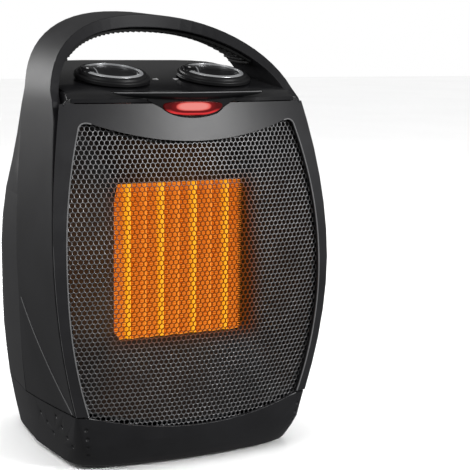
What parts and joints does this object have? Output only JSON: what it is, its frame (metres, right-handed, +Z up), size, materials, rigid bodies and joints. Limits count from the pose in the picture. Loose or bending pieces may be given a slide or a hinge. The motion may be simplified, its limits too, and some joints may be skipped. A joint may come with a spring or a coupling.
{
  "type": "ceramic space heater",
  "caption": "Upright ceramic fan heater with a bowed honeycomb front grille, sloping control panel with turning knobs, and an arched carrying handle",
  "frame": {"origin": "on the floor under the middle of the heater's box, where the feet rest", "axes": "+Z up along the height, -Y out of the grille, +X to the right seen from the front"},
  "size_m": [0.175, 0.1576, 0.2624],
  "materials": {
    "shell_black": "fine moulded texture, half matte",
    "satin_black": "satin",
    "gloss_black": "gloss",
    "mesh_black": "satin powder coat",
    "rubber_black": "matte",
    "chrome_ring": "polished",
    "red_lens": "clear red, lit from behind",
    "lamp_glass": "clear, glowing",
    "steel": "zinc plated",
    "lamination": "stacked sheet",
    "copper": null,
    "bronze": null,
    "hot_fins": "corrugated strip glowing orange",
    "hot_ceramic": "glowing yellow",
    "frame_nylon": "glass filled, matte",
    "white_nylon": "natural nylon"
  },
  "bodies": {
    "root": {"air_duct": "frame_nylon", "base": "shell_black", "carry_handle": "shell_black", "control_panel": "gloss_black", "cord_gland": "rubber_black", "element_divider_1": "hot_fins", "element_divider_2": "hot_fins", "element_divider_3": "hot_fins", "element_frame": "frame_nylon", "fan_shroud": "frame_nylon", "fin_pack_1": "hot_fins", "fin_pack_2": "hot_fins", "fin_pack_3": "hot_fins", "fin_pack_4": "hot_fins", "fin_pack_5": "hot_fins", "fin_pack_6": "hot_fins", "fin_pack_7": "hot_fins", "fin_pack_8": "hot_fins", "foot_front_left": "rubber_black", "foot_front_right": "rubber_black", "foot_rear_left": "rubber_black", "foot_rear_right": "rubber_black", "front_bezel": "satin_black", "front_grille": "mesh_black", "handle_grip": "rubber_black", "indicator_lamp": "lamp_glass", "indicator_lens": "red_lens", "lens_housing": "gloss_black", "mode_switch_body": "white_nylon", "motor_bearing_front": "bronze", "motor_bearing_rear": "bronze", "motor_coil": "copper", "motor_front_bracket": "steel", "motor_rear_bracket": "steel", "motor_stator": "lamination", "ptc_bar_1": "hot_ceramic", "ptc_bar_2": "hot_ceramic", "ptc_bar_3": "hot_ceramic", "ptc_bar_4": "hot_ceramic", "rear_screw_1": "steel", "rear_screw_2": "steel", "rear_screw_3": "steel", "rear_screw_4": "steel", "rear_shell": "shell_black", "terminal_block": "white_nylon", "thermal_cutoff": "steel", "thermostat_body": "white_nylon", "tip_over_spring": "steel", "tip_over_switch": "frame_nylon"},
    "mode_knob": {"mode_knob": "gloss_black", "mode_knob_ring": "chrome_ring", "mode_knob_shaft": "steel"},
    "thermostat_knob": {"thermostat_knob": "gloss_black", "thermostat_knob_ring": "chrome_ring", "thermostat_knob_shaft": "steel"},
    "fan": {"fan_impeller": "frame_nylon", "fan_shaft": "steel", "motor_rotor": "lamination"},
    "tip_over_plunger": {"tip_over_plunger": "white_nylon"}
  },
  "joints": [
    {"name": "mode_knob_turn", "type": "hinge", "parent": "root", "child": "mode_knob", "pos_m": [-0.03315, -0.02305, 0.222], "axis": [0, -0.2079, 0.9781], "range_deg": [-135, 0]},
    {"name": "thermostat_knob_turn", "type": "hinge", "parent": "root", "child": "thermostat_knob", "pos_m": [0.03315, -0.02305, 0.222], "axis": [0, -0.2079, 0.9781], "range_deg": [-150, 120]},
    {"name": "fan_spin", "type": "hinge", "parent": "root", "child": "fan", "pos_m": [0, 0, 0.1171], "axis": [0, 1, 0], "continuous": true},
    {"name": "tip_over_slide", "type": "slide", "parent": "root", "child": "tip_over_plunger", "axis": [0, 0, 1], "range_m": [-0.004, 0], "stiffness_N_per_m": 40, "springref_m": -0.006, "deforming": ["tip_over_spring"]}
  ]
}
